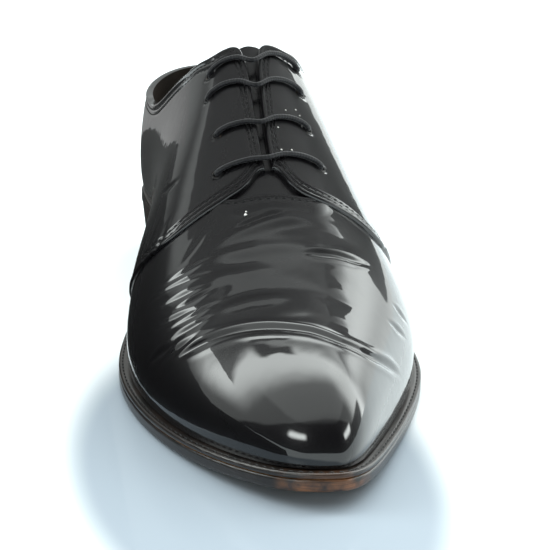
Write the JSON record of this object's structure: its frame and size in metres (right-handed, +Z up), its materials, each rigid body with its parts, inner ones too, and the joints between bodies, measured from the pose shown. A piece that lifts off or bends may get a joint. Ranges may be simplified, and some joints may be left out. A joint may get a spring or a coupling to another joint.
{
  "type": "lace-up dress shoe",
  "caption": "Left plain-toe derby dress shoe: hollow upper with open lacing over a tongue, laced through plain eyelets, welted leather sole, low stacked heel.",
  "frame": {"origin": "on the ground under the middle of the heel's rounded back, where the last's upright axis stands", "axes": "+Z up, -Y towards the toe, +X towards the outer side of the left foot"},
  "size_m": [0.1123, 0.3065, 0.1131],
  "materials": {
    "patent_leather": "high gloss patent coat",
    "tongue_leather": "smooth, satin",
    "edge_ink": "inked and burnished edge",
    "sole_leather": "smooth, inked",
    "insole_leather": "matt",
    "heel_rubber": "matt",
    "waxed_cotton": "waxed braid"
  },
  "bodies": {
    "root": {"outsole": "sole_leather", "welt": "edge_ink", "heel_rand": "edge_ink", "insole": "insole_leather", "upper": "patent_leather", "tongue": "tongue_leather", "heel_top_piece": "heel_rubber", "heel_lift_1": "edge_ink", "heel_lift_2": "edge_ink", "heel_lift_3": "edge_ink", "lace_bar_1": "waxed_cotton", "lace_bar_2": "waxed_cotton", "lace_bar_3": "waxed_cotton", "lace_bar_4": "waxed_cotton"}
  },
  "joints": []
}
